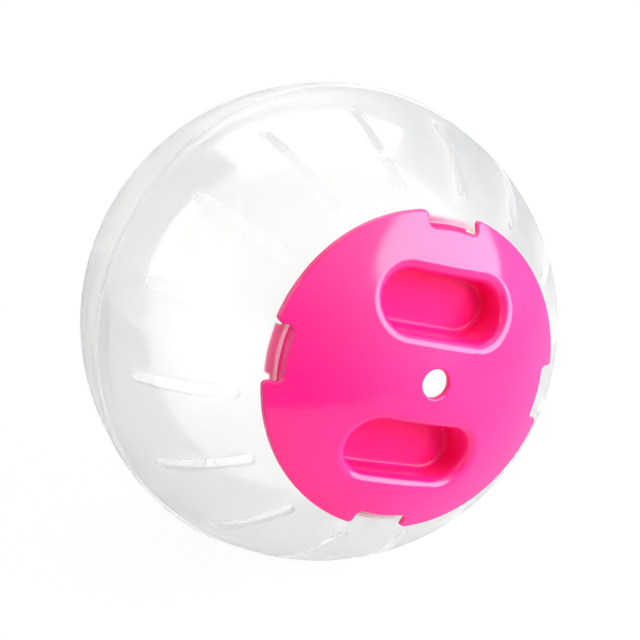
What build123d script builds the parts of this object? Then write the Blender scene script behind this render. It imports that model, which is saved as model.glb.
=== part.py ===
# Hamster exercise ball: two vented half shells that plug together at the middle and a
# twist-lock lid with two finger wells over the mouth of the front half.
# Millimetres, +Z up, origin at the centre of the ball. The ball's axis is Y and the lid faces -Y.
import os
from math import cos, radians, sin, sqrt

from build123d import *

# Half shells
ball_radius = 58.5  # outside of both half shells
shell_wall = 1.4

# Rim around the seam, on the front half
rim_stand = 0.6  # how far the rim stands out from the ball
rim_height = 5.0
rim_round = 0.5
seam_gap = 0.15  # between the two half shells

# Lip of the rear half, which plugs into the front half
lip_height = 4.0
lip_wall = 1.2
lip_shoulder = 3.5  # straight inside face below the seam
lip_clearance = 0.25

# Mouth of the front half
mouth_radius = 33.2
lug_count = 4

# Vent slots, cut along the axis
vent_count = 16
vent_width = 3.0
vent_margin = 3.1  # from the lid's edge to the near end of a slot
vent_end_angle = 70.5  # far end of a slot, from the axis
vent_roll = 1.2  # turn of the slots, anticlockwise from the top as seen from the lid

# Lid
lid_roll = 15.0  # turn of the locked lid, clockwise from the top
lid_overlap = 2.8  # how far the lid reaches past the mouth
lid_gap = 0.3  # between the lid's edge and the ball
lid_edge = 1.2  # thickness of the lid's edge
lid_edge_round = 0.6
lid_wall = 1.4
crown_drop = 0.7  # crown of the lid below the ball's own curve
plug_clearance = 0.4
plug_wall = 2.0

# Bayonet lugs on the lid, their windows in its edge and their gates in the mouth
lug_reach = 0.8  # past the mouth
lug_thickness = 1.8
lug_angle = 18.0
lug_clearance = 0.35
window_depth = 3.6
window_round = 1.2  # upright corners of a window
window_clearance_angle = 1.4  # each side of a lug
gate_clearance_angle = 1.5  # each side of a lug
gate_clearance = 0.3
twist_angle = 30.0  # from locked to open

# Stops inside the mouth, beside the locked lugs
stop_angle = 3.0
stop_clearance_angle = 1.5

# Finger wells
well_length = 29.8
well_width = 12.8
well_offset = 16.0  # from the axis to the middle of a well
well_depth = 12.8  # from the crown to the floor
well_wall = 1.6
well_rim_round = 2.2
well_floor_round = 1.2

# Centre hole
hole_radius = 3.2
hole_round = 0.5

# Worked out from the sizes above
inner_radius = ball_radius - shell_wall
rim_radius = ball_radius + rim_stand
lip_radius = sqrt(inner_radius**2 - lip_height**2) - lip_clearance
lid_radius = mouth_radius + lid_overlap
plug_radius = mouth_radius - plug_clearance
plug_inside = plug_radius - plug_wall
lug_radius = mouth_radius + lug_reach
lug_top_sphere = inner_radius - lug_clearance
gate_radius = lug_radius + gate_clearance
gate_angle = lug_angle + 2 * gate_clearance_angle
window_radius = lid_radius - window_depth
window_width = 2 * lug_radius * sin(radians(lug_angle / 2 + window_clearance_angle))
crown_height = ball_radius - crown_drop
floor_height = crown_height - well_depth
vent_start_reach = lid_radius + vent_margin
vent_end_reach = ball_radius * sin(radians(vent_end_angle))
vent_floor = ball_radius * cos(radians(vent_end_angle)) / 2  # inside the hollow

front = -1  # lid side of the ball along Y


def height_on(radius, reach):
    """Height above the middle of a sphere at a distance from the axis."""
    return sqrt(radius**2 - reach**2)


def sphere_point(radius, reach, side):
    """Point of a sphere's outline at a distance from the axis."""
    return (reach, side * height_on(radius, reach))


def sphere_arc(radius, start, end):
    """Arc about the ball's centre between two points of a profile."""
    middle = (Vector(*start) + Vector(*end)).normalized() * radius
    return ThreePointArc(start, middle, end)


def profile_plane(angle):
    """Half plane through the axis, turned clockwise from the top as seen from the lid."""
    return Plane.XY.rotated((0, angle - 90, 0))


def spread(count, first):
    """Evenly spaced angles around the axis."""
    return [first + i * 360 / count for i in range(count)]


# Front half shell
mouth_outside = sphere_point(ball_radius, mouth_radius, front)
mouth_inside = sphere_point(inner_radius, mouth_radius, front)
rim_root = (height_on(ball_radius, rim_height), front * rim_height)
seam_inside = (inner_radius, 0)

with BuildPart() as front_half:
    with BuildSketch(Plane.XY) as front_profile:
        with BuildLine():
            sphere_arc(ball_radius, mouth_outside, rim_root)
            Polyline(rim_root, (rim_radius, front * rim_height), (rim_radius, 0), seam_inside)
            sphere_arc(inner_radius, seam_inside, mouth_inside)
            Line(mouth_inside, mouth_outside)
        make_face()
        rim_corner = front_profile.vertices().sort_by(Axis.X)[-2:].sort_by(Axis.Y)[0]
        fillet(rim_corner, radius=rim_round)
    revolve(axis=Axis.Y)

    with BuildSketch(Plane.XZ.offset(vent_floor)):
        with PolarLocations((vent_start_reach + vent_end_reach) / 2, vent_count, start_angle=90 + vent_roll):
            SlotOverall(vent_end_reach - vent_start_reach, vent_width)
    extrude(amount=ball_radius, mode=Mode.SUBTRACT)

    gate_floor = height_on(inner_radius, gate_radius) - lug_thickness
    for angle in spread(lug_count, lid_roll - twist_angle):
        with BuildSketch(profile_plane(angle - gate_angle / 2)):
            with Locations((plug_radius, front * gate_floor)):
                Rectangle(gate_radius - plug_radius, ball_radius - gate_floor, align=(Align.MIN, Align.MAX))
        revolve(axis=Axis.Y, revolution_arc=gate_angle, mode=Mode.SUBTRACT)

    wall_middle = (ball_radius + inner_radius) / 2
    stop_near = sphere_point(wall_middle, mouth_radius + lug_clearance, front)
    stop_far = sphere_point(wall_middle, gate_radius, front)
    stop_foot = front * gate_floor
    for angle in spread(lug_count, lid_roll + lug_angle / 2 + stop_clearance_angle):
        with BuildSketch(profile_plane(angle)):
            with BuildLine():
                Polyline(stop_near, (stop_near[0], stop_foot), (stop_far[0], stop_foot), stop_far)
                sphere_arc(wall_middle, stop_far, stop_near)
            make_face()
        revolve(axis=Axis.Y, revolution_arc=stop_angle)

front_half.part.label = "front_half"

# Rear half shell with the lip that plugs into the front half
pole_outside = (0, ball_radius)
pole_inside = (0, inner_radius)
lip_inside = lip_radius - lip_wall
shoulder_foot = (height_on(inner_radius, lip_shoulder + lip_wall), lip_shoulder + lip_wall)
seam_outside = (height_on(ball_radius, seam_gap), seam_gap)

with BuildPart() as rear_half:
    with BuildSketch(Plane.XY):
        with BuildLine():
            sphere_arc(ball_radius, seam_outside, pole_outside)
            Line(pole_outside, pole_inside)
            sphere_arc(inner_radius, pole_inside, shoulder_foot)
            Polyline(
                shoulder_foot,
                (lip_inside, lip_shoulder),
                (lip_inside, front * lip_height),
                (lip_radius, front * lip_height),
                (lip_radius, seam_gap),
                seam_outside,
            )
        make_face()
    revolve(axis=Axis.Y)

    with BuildSketch(Plane.XZ.offset(-vent_floor)):
        with PolarLocations((vent_start_reach + vent_end_reach) / 2, vent_count, start_angle=90 + vent_roll):
            SlotOverall(vent_end_reach - vent_start_reach, vent_width)
    extrude(amount=-ball_radius, mode=Mode.SUBTRACT)

rear_half.part.label = "rear_half"

# Lid: crown, edge and plug in one profile, revolved wider than the lid and cut to its outline
edge_bottom = sphere_point(ball_radius + lid_gap, lid_radius, front)
edge_slope = height_on(ball_radius, lid_radius) / ball_radius
edge_top = (lid_radius, edge_bottom[1] - lid_edge / edge_slope)
crown_sag = crown_height + edge_top[1]
crown_radius = (lid_radius**2 + crown_sag**2) / (2 * crown_sag)
crown_centre = crown_height - crown_radius
plug_top = sphere_point(ball_radius + lid_gap, plug_radius, front)
plug_foot = front * (height_on(lug_top_sphere, lug_radius) - lug_thickness)


def crown_point(radius, reach):
    """Point of an arc about the crown's own centre at a distance from the axis."""
    return (reach, front * (crown_centre + height_on(radius, reach)))


def crown_arc(radius, start, end):
    """Arc about the crown's own centre between two points of the lid's profile."""
    middle = crown_point(radius, (start[0] + end[0]) / 2)
    return ThreePointArc(start, middle, end)


crown_top = crown_point(crown_radius, 0)
crown_under = crown_point(crown_radius - lid_wall, 0)
plug_under = crown_point(crown_radius - lid_wall, plug_inside)
blank_radius = lid_radius + window_depth
blank_edge = sphere_point(ball_radius + lid_gap, blank_radius, front)
lug_tip = sphere_point(lug_top_sphere, lug_radius, front)
lid_plane = Plane.XZ.rotated((0, lid_roll, 0))

with BuildPart() as lid_hollow:
    with BuildSketch(Plane.XY):
        with BuildLine():
            crown_arc(crown_radius - lid_wall, crown_under, plug_under)
            Polyline(plug_under, (plug_inside, plug_foot), (0, plug_foot), crown_under)
        make_face()
    revolve(axis=Axis.Y)
    with BuildSketch(lid_plane.offset(floor_height - well_wall)):
        with Locations((0, well_offset), (0, -well_offset)):
            SlotOverall(well_length + 2 * well_wall, well_width + 2 * well_wall)
    extrude(amount=ball_radius, mode=Mode.SUBTRACT)

with BuildPart() as lid_outline:
    with BuildSketch(lid_plane.offset(-lug_tip[1])) as lid_plan:
        Circle(lid_radius)
        with PolarLocations(plug_inside, lug_count, start_angle=90):
            Rectangle(lid_radius, window_width, align=(Align.MIN, Align.CENTER), mode=Mode.SUBTRACT)
        Circle(window_radius)
        fillet(lid_plan.vertices(), radius=window_round)
    extrude(amount=crown_height)
    with BuildSketch(lid_plane.offset(-lug_tip[1])):
        Circle(lid_radius)
    extrude(amount=-crown_height)

with BuildPart() as lid:
    with BuildSketch(Plane.XY):
        with BuildLine():
            Polyline((0, plug_foot), crown_top, (blank_radius, crown_top[1]), blank_edge)
            sphere_arc(ball_radius + lid_gap, blank_edge, plug_top)
            Polyline(plug_top, (plug_radius, plug_foot), (0, plug_foot))
        make_face()
    revolve(axis=Axis.Y)
    with BuildSketch(lid_plane.offset(floor_height - well_wall)):
        with Locations((0, well_offset), (0, -well_offset)):
            SlotOverall(well_length + 2 * well_wall, well_width + 2 * well_wall)
    extrude(amount=well_wall + well_depth)
    with Locations((0, front * crown_centre, 0)):
        Sphere(crown_radius, mode=Mode.INTERSECT)

    with BuildSketch(lid_plane.offset(floor_height)):
        with Locations((0, well_offset), (0, -well_offset)):
            SlotOverall(well_length, well_width)
    extrude(amount=ball_radius, mode=Mode.SUBTRACT)
    crown_face = lid.faces().filter_by(GeomType.SPHERE).sort_by(SortBy.AREA)[-1]
    fillet(crown_face.inner_wires().edges(), radius=well_rim_round)
    well_floors = lid.faces().filter_by(Plane.XZ).filter_by_position(
        Axis.Y, -floor_height - well_wall / 2, -floor_height + well_wall / 2
    )
    fillet(well_floors.edges(), radius=well_floor_round)

    add(lid_outline.part, mode=Mode.INTERSECT)
    crown_face = lid.faces().filter_by(GeomType.SPHERE).sort_by(SortBy.AREA)[-1]
    fillet(crown_face.outer_wire().edges(), radius=lid_edge_round)
    add(lid_hollow.part, mode=Mode.SUBTRACT)

    with BuildSketch(lid_plane.offset(floor_height)):
        Circle(hole_radius)
    extrude(amount=ball_radius, mode=Mode.SUBTRACT)
    hole_rim = lid.edges().filter_by(GeomType.CIRCLE).sort_by_distance((0, -crown_height, 0))[0]
    fillet(hole_rim, radius=hole_round)

    lug_root = sphere_point(lug_top_sphere, plug_inside + plug_wall / 4, front)  # inside the plug's wall
    for angle in spread(lug_count, lid_roll):
        with BuildSketch(profile_plane(angle - lug_angle / 2)):
            with BuildLine():
                Polyline(lug_root, lug_tip, (lug_radius, plug_foot), (lug_root[0], plug_foot), close=True)
            make_face()
        revolve(axis=Axis.Y, revolution_arc=lug_angle)

lid.part.label = "lid"

os.makedirs("parts", exist_ok=True)
for piece in (front_half, rear_half, lid):
    export_step(piece.part, f"parts/{piece.part.label}.step")
    print(piece.part.label, round(piece.part.volume / 1000, 2), "cm3")
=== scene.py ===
import math

import bpy
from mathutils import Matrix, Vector


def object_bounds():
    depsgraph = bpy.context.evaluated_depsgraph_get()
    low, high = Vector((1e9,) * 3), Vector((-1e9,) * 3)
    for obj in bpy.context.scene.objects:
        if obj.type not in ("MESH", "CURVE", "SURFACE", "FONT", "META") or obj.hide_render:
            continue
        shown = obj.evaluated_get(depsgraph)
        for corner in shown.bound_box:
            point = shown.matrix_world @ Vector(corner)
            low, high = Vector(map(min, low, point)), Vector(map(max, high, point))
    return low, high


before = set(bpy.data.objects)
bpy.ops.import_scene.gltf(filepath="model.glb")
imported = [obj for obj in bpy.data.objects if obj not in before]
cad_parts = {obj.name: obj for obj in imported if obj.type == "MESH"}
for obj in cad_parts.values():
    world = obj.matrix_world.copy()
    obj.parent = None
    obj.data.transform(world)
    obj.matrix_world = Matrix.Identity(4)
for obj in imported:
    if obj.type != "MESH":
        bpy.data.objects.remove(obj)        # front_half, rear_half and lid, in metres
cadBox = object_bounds()
print("frame:", sorted(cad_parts))


# camera at the photograph's angle, in metres, degrees and, for the lens, millimetres
picturePixels = 640
ballMiddle = Vector((0, 0, 0))
cameraSet = {
    "distance": 0.351,
    "azimuth": -25.7,
    "elevation": 14.8,
    "lens": 79.5,
    "sensor": 36.0,
    "shiftX": 1 / picturePixels,     # ball a little left of the middle
    "shiftY": 2 / picturePixels,     # and a little below it
    "clip": (0.01, 50.0),
}


def directionOf(azimuth, elevation):
    a = math.radians(azimuth)
    e = math.radians(elevation)
    return Vector((math.sin(a) * math.cos(e), -math.cos(a) * math.cos(e), math.sin(e)))


def aimAt(thing, target):
    thing.rotation_euler = (target - thing.location).to_track_quat("-Z", "Y").to_euler()


def makeCamera(s):
    data = bpy.data.cameras.new("productCamera")
    camera = bpy.data.objects.new("productCamera", data)
    bpy.context.scene.collection.objects.link(camera)
    data.sensor_width = s["sensor"]
    data.lens = s["lens"]
    data.shift_x = s["shiftX"]
    data.shift_y = s["shiftY"]
    data.clip_start, data.clip_end = s["clip"]
    camera.location = directionOf(s["azimuth"], s["elevation"]) * s["distance"]
    aimAt(camera, ballMiddle)
    bpy.context.scene.camera = camera


makeCamera(cameraSet)
print("camera: done")


# node helpers
def newMaterial(name):
    material = bpy.data.materials.new(name)
    material.use_nodes = True
    tree = material.node_tree
    return material, tree, tree.nodes["Principled BSDF"]


def addNode(tree, kind, inputs=None, **settings):
    node = tree.nodes.new(kind)
    for key, value in settings.items():
        setattr(node, key, value)
    for key, value in (inputs or {}).items():
        if isinstance(value, bpy.types.NodeSocket):
            tree.links.new(value, node.inputs[key])
        else:
            node.inputs[key].default_value = value
    return node


def setShader(shader, values):
    for key, value in values.items():
        shader.inputs[key].default_value = value


def noiseOf(tree, vector, scale, detail):
    inputs = {"Vector": vector, "Scale": scale, "Detail": detail}
    return addNode(tree, "ShaderNodeTexNoise", inputs).outputs["Fac"]


def rangeOf(tree, value, fromMin, fromMax, toMin=0.0, toMax=1.0):
    inputs = {"Value": value, "From Min": fromMin, "From Max": fromMax, "To Min": toMin, "To Max": toMax}
    return addNode(tree, "ShaderNodeMapRange", inputs).outputs["Result"]


def blendOf(tree, factor, valueA, valueB):
    return rangeOf(tree, factor, 0.0, 1.0, valueA, valueB)


def mixOf(tree, factor, colourA, colourB):
    node = addNode(tree, "ShaderNodeMixRGB", {"Fac": factor, "Color1": colourA, "Color2": colourB})
    return node.outputs["Color"]


def mathOf(tree, operation, a, b=0.0):
    return addNode(tree, "ShaderNodeMath", {0: a, 1: b}, operation=operation).outputs[0]


def vectorOf(tree, operation, output, a, b=(0, 0, 0)):
    return addNode(tree, "ShaderNodeVectorMath", {0: a, 1: b}, operation=operation).outputs[output]


def dotOf(tree, a, b):
    return vectorOf(tree, "DOT_PRODUCT", "Value", a, b)


def partOf(tree, vector, axis):
    return addNode(tree, "ShaderNodeSeparateXYZ", {0: vector}).outputs[axis]


def sizeOfY(tree, vector):
    return mathOf(tree, "ABSOLUTE", partOf(tree, vector, "Y"))


def bumpOf(tree, height, strength, distance):
    node = addNode(tree, "ShaderNodeBump", {"Height": height, "Strength": strength, "Distance": distance})
    return node.outputs["Normal"]


# unevenness that all the moulded plastic shares
mouldNoise = {
    "cloudDetail": 4.0,
    "cloudFrom": (0.35, 0.65),
    "grainDetail": 2.0,
    "grainFrom": (0.3, 0.7),
}


def cloudOf(tree, place, scale):
    cloud = noiseOf(tree, place, scale, mouldNoise["cloudDetail"])
    return rangeOf(tree, cloud, *mouldNoise["cloudFrom"])


def grainOf(tree, place, scale):
    return noiseOf(tree, place, scale, mouldNoise["grainDetail"])


def dullOf(tree, grain, roughness):
    return rangeOf(tree, grain, *mouldNoise["grainFrom"], *roughness)


# milky clear moulded shell, in metres and, for the scales, per metre
milkyClear = {
    "clear": (0.985, 0.993, 0.98, 1),
    "cloudy": (0.965, 0.973, 0.95, 1),
    "cloudScale": 42.0,
    "edgeWhite": (1.0, 1.0, 1.0, 1),      # slot walls and other cut edges pipe the light
    "edgeFrom": (0.35, 0.8),              # how far a face may lean from the ball's own curve
    "cutLean": (0.05, 0.2),               # faces cut along the axis lean less than this
    "cutFrom": (0.010, 0.013),            # edges are whitened only this far from the seam
    "cover": 0.58,                        # the rest of the light goes straight through
    "transmission": (0.97, 0.6),          # of the walls and of their edges
    "roughness": (0.3, 0.36),
    "insideShare": 0.2,                   # of that roughness, on the polished inside
    "insideFrom": (0.0582, 0.0575),       # from the ball's middle to the outside and the inside
    "edgeRoughness": 0.8,
    "grainScale": 160.0,
    "ior": 1.35,
    "coat": 0.1,
    "coatRoughness": 0.14,
    "waveScale": 75.0,
    "waveDetail": 1.0,
    "waveBump": (0.18, 0.0012),
}


def makeMilkyClear(s):
    material, tree, shader = newMaterial("milkyClearShell")
    coords = addNode(tree, "ShaderNodeTexCoord")
    place = coords.outputs["Object"]
    facing = coords.outputs["Normal"]

    # cut edges lean away from the ball's curve or run along its axis
    outward = vectorOf(tree, "NORMALIZE", "Vector", place)
    lean = mathOf(tree, "ABSOLUTE", dotOf(tree, outward, facing))
    leaning = rangeOf(tree, lean, *s["edgeFrom"], 1.0, 0.0)
    cut = rangeOf(tree, sizeOfY(tree, facing), *s["cutLean"], 1.0, 0.0)
    away = rangeOf(tree, sizeOfY(tree, place), *s["cutFrom"])
    edge = mathOf(tree, "MULTIPLY", mathOf(tree, "MAXIMUM", leaning, cut), away)

    body = mixOf(tree, cloudOf(tree, place, s["cloudScale"]), s["clear"], s["cloudy"])
    dull = dullOf(tree, grainOf(tree, place, s["grainScale"]), s["roughness"])
    reach = vectorOf(tree, "LENGTH", "Value", place)
    polish = rangeOf(tree, reach, *s["insideFrom"], 1.0, s["insideShare"])
    dull = mathOf(tree, "MULTIPLY", dull, polish)
    wave = noiseOf(tree, place, s["waveScale"], s["waveDetail"])

    tree.links.new(mixOf(tree, edge, body, s["edgeWhite"]), shader.inputs["Base Color"])
    tree.links.new(blendOf(tree, edge, *s["transmission"]), shader.inputs["Transmission Weight"])
    tree.links.new(blendOf(tree, edge, dull, s["edgeRoughness"]), shader.inputs["Roughness"])
    tree.links.new(bumpOf(tree, wave, *s["waveBump"]), shader.inputs["Coat Normal"])
    setShader(shader, {"IOR": s["ior"], "Alpha": s["cover"], "Coat Weight": s["coat"],
                       "Coat Roughness": s["coatRoughness"]})
    return material


# glossy hot pink lid, in metres and, for the scales, per metre
hotPink = {
    "deep": (0.9, 0.012, 0.195, 1),
    "light": (0.92, 0.018, 0.22, 1),
    "cloudScale": 35.0,
    "roughness": (0.24, 0.34),
    "grainScale": 1800.0,
    "grainBump": (0.02, 0.0001),
    "specular": 0.0,                      # all the gloss is in the coat
    "glow": 0.2,                          # light that runs on inside the pink
    "glowReach": (0.004, 0.0003, 0.0009),
    "glowScale": 1.0,
    "coat": (0.25, 1.0),                  # in the finger wells and on the crown
    "crownCentre": (0, 0.0133, 0),
    "wellFrom": (0.062, 0.068),           # distances from that centre
    "coatRoughness": 0.12,
}


def makeHotPink(s):
    material, tree, shader = newMaterial("hotPinkLid")
    place = addNode(tree, "ShaderNodeTexCoord").outputs["Object"]
    pink = mixOf(tree, cloudOf(tree, place, s["cloudScale"]), s["deep"], s["light"])
    grain = grainOf(tree, place, s["grainScale"])
    crownDistance = vectorOf(tree, "DISTANCE", "Value", place, s["crownCentre"])

    tree.links.new(pink, shader.inputs["Base Color"])
    tree.links.new(dullOf(tree, grain, s["roughness"]), shader.inputs["Roughness"])
    tree.links.new(bumpOf(tree, grain, *s["grainBump"]), shader.inputs["Normal"])
    tree.links.new(rangeOf(tree, crownDistance, *s["wellFrom"], *s["coat"]), shader.inputs["Coat Weight"])
    setShader(shader, {"Specular IOR Level": s["specular"], "Subsurface Weight": s["glow"],
                       "Subsurface Radius": s["glowReach"], "Subsurface Scale": s["glowScale"],
                       "Coat Roughness": s["coatRoughness"]})
    return material


shellFinish = makeMilkyClear(milkyClear)
lidFinish = makeHotPink(hotPink)
for nodeName, finish in (("front_half", shellFinish), ("rear_half", shellFinish), ("lid", lidFinish)):
    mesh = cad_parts[nodeName].data
    mesh.materials.clear()
    mesh.materials.append(finish)
print("finishes: done")


def viewedRay(tree, *names):
    path = addNode(tree, "ShaderNodeLightPath")
    total = path.outputs[names[0]]
    for name in names[1:]:
        total = mathOf(tree, "MAXIMUM", total, path.outputs[name])
    return total


# pale floor, turned to the camera and white where it is looked at, in metres
floorSet = {
    "front": 0.19,                        # how far it reaches towards the camera, from the ball's middle
    "side": 1.2,
    "back": 1.6,
    "corner": 0.15,
    "cornerSteps": 6,
    "pale": (0.85, 0.85, 0.85, 1),
    "roughness": 0.9,
    "specular": 0.0,
    "white": (1, 1, 1, 1),
    "lit": 0.92,                          # share of plain white under the ball
    "whiteFrom": (0.08, 0.3),             # the share grows to all between these distances
    "paintedSideGlow": (0.35, 1.15),             # painted light and shade: how brightly the floor glows in reflections, dimmer on the left and brighter on the right
    "paintedSideGlowFrom": (-0.2, 0.2),
}


def floorOutline(s, height):
    outline = []
    right = s["side"] - s["corner"]
    near = s["corner"] - s["front"]
    far = s["back"] - s["corner"]
    for x, y, start in ((right, near, -90), (right, far, 0), (-right, far, 90), (-right, near, 180)):
        for i in range(s["cornerSteps"] + 1):
            turn = math.radians(start + 90 * i / s["cornerSteps"])
            outline.append((x + s["corner"] * math.cos(turn), y + s["corner"] * math.sin(turn), height))
    return outline


def makePaleWhite(s, height):
    material, tree, shader = newMaterial("paleFloor")
    setShader(shader, {"Base Color": s["pale"], "Roughness": s["roughness"],
                       "Specular IOR Level": s["specular"]})
    place = addNode(tree, "ShaderNodeTexCoord").outputs["Object"]
    # painted light and shade: in reflections the floor glows dimmer on the left and brighter on the right
    paintedSideGlow = rangeOf(tree, partOf(tree, place, "X"), *s["paintedSideGlowFrom"], *s["paintedSideGlow"])
    direct = viewedRay(tree, "Is Camera Ray", "Is Transmission Ray")
    strength = blendOf(tree, direct, paintedSideGlow, 1.0)
    glow = addNode(tree, "ShaderNodeEmission", {"Color": s["white"], "Strength": strength})
    away = vectorOf(tree, "DISTANCE", "Value", place, (0, 0, height))
    plain = rangeOf(tree, away, *s["whiteFrom"], s["lit"], 1.0)
    seen = viewedRay(tree, "Is Camera Ray", "Is Glossy Ray", "Is Transmission Ray")
    share = mathOf(tree, "MULTIPLY", seen, plain)     # the rest keeps the ball's shadow
    mixed = addNode(tree, "ShaderNodeMixShader", {0: share, 1: shader.outputs[0], 2: glow.outputs[0]})
    tree.links.new(mixed.outputs[0], tree.nodes["Material Output"].inputs["Surface"])
    return material


def makeFloor(s, height):
    outline = floorOutline(s, height)
    mesh = bpy.data.meshes.new("paleFloor")
    mesh.from_pydata(outline, [], [tuple(range(len(outline)))])
    mesh.materials.append(makePaleWhite(s, height))
    floor = bpy.data.objects.new("paleFloor", mesh)
    bpy.context.scene.collection.objects.link(floor)
    floor.rotation_euler = (0, 0, math.radians(cameraSet["azimuth"]))


makeFloor(floorSet, cadBox[0].z)
print("floor: done")


# soft lamps, all aimed at the ball, in metres, degrees and watts
lampSet = {
    "leftBox": {"azimuth": -97, "elevation": 32, "distance": 0.9, "shape": "RECTANGLE",
                "size": (0.8, 0.45), "power": 2.2, "colour": (1.0, 0.98, 0.94)},
    "rightDisc": {"azimuth": 36, "elevation": 20, "distance": 0.9, "shape": "ELLIPSE",
                  "size": (0.95, 0.74), "power": 12.0, "colour": (0.92, 0.95, 1.0)},
    "topBox": {"azimuth": 160, "elevation": 68, "distance": 0.9, "shape": "RECTANGLE",
               "size": (0.9, 0.7), "power": 3.2, "colour": (1.0, 1.0, 1.0)},
}


def makeLamp(name, s):
    data = bpy.data.lights.new(name, "AREA")
    data.shape = s["shape"]
    data.size, data.size_y = s["size"]
    data.energy = s["power"]
    data.color = s["colour"]
    lamp = bpy.data.objects.new(name, data)
    bpy.context.scene.collection.objects.link(lamp)
    lamp.location = directionOf(s["azimuth"], s["elevation"]) * s["distance"]
    aimAt(lamp, ballMiddle)


for lampName, lamp in lampSet.items():
    makeLamp(lampName, lamp)
print("lamps: done")


# room that is darker on the camera's side, sides as azimuth and elevation
roomSet = {
    "brightSide": (60, 35),
    "glossFrom": (-0.1, 0.82),            # cosines from the bright side, dim to bright
    "glossLate": 1.6,                     # above 1 the brightness comes late
    "glossDim": (0.05, 0.05, 0.05, 1),    # what shiny surfaces mirror
    "glossBright": (2.3, 2.3, 2.5, 1),
    "glossBack": (0.95, 0.95, 0.95, 1),   # behind the ball and on its far left
    "backFrom": (-0.5, 0.5),
    "leftSide": (-100, 10),
    "leftFrom": (0.5, 0.9),
    "screenSide": (125, 15),              # a dark screen behind the ball on its right
    "screenFrom": (0.8, 0.95),
    "screenDark": (0.48, 0.52, 0.58, 1),
    "fillFrom": (-0.35, 0.8),
    "fillDim": (0.05, 0.05, 0.05, 1),     # what dull surfaces receive
    "fillBright": (0.8, 0.82, 0.85, 1),
    "paleFront": (0.74, 0.76, 0.78, 1),   # the camera's side, seen through the clear walls
    "white": (1, 1, 1, 1),
}


def makeRoom(s):
    world = bpy.data.worlds.new("studioRoom")
    world.use_nodes = True
    tree = world.node_tree
    way = addNode(tree, "ShaderNodeTexCoord").outputs["Generated"]

    def sideOf(side, cosines, toMin=0.0, toMax=1.0):
        return rangeOf(tree, dotOf(tree, way, directionOf(*side)), *cosines, toMin, toMax)

    rise = mathOf(tree, "POWER", sideOf(s["brightSide"], s["glossFrom"]), s["glossLate"])
    gloss = mixOf(tree, rise, s["glossDim"], s["glossBright"])
    behind = sideOf((cameraSet["azimuth"], 0), s["backFrom"], 1.0, 0.0)
    behind = mathOf(tree, "MAXIMUM", behind, sideOf(s["leftSide"], s["leftFrom"]))
    room = mixOf(tree, behind, gloss, s["glossBack"])
    room = mixOf(tree, sideOf(s["screenSide"], s["screenFrom"]), room, s["screenDark"])

    fill = mixOf(tree, sideOf(s["brightSide"], s["fillFrom"]), s["fillDim"], s["fillBright"])
    through = mixOf(tree, behind, s["paleFront"], s["white"])
    room = mixOf(tree, viewedRay(tree, "Is Diffuse Ray"), room, fill)
    room = mixOf(tree, viewedRay(tree, "Is Transmission Ray"), room, through)
    room = mixOf(tree, viewedRay(tree, "Is Camera Ray"), room, s["white"])
    tree.links.new(room, tree.nodes["Background"].inputs["Color"])
    bpy.context.scene.world = world


makeRoom(roomSet)
print("room: done")


# light runs far along the clear walls
bounceSet = {"max_bounces": 32, "glossy_bounces": 16, "transmission_bounces": 32}
for setting, count in bounceSet.items():
    setattr(bpy.context.scene.cycles, setting, count)
bpy.context.scene.view_settings.view_transform = "Standard"
print("view: done")
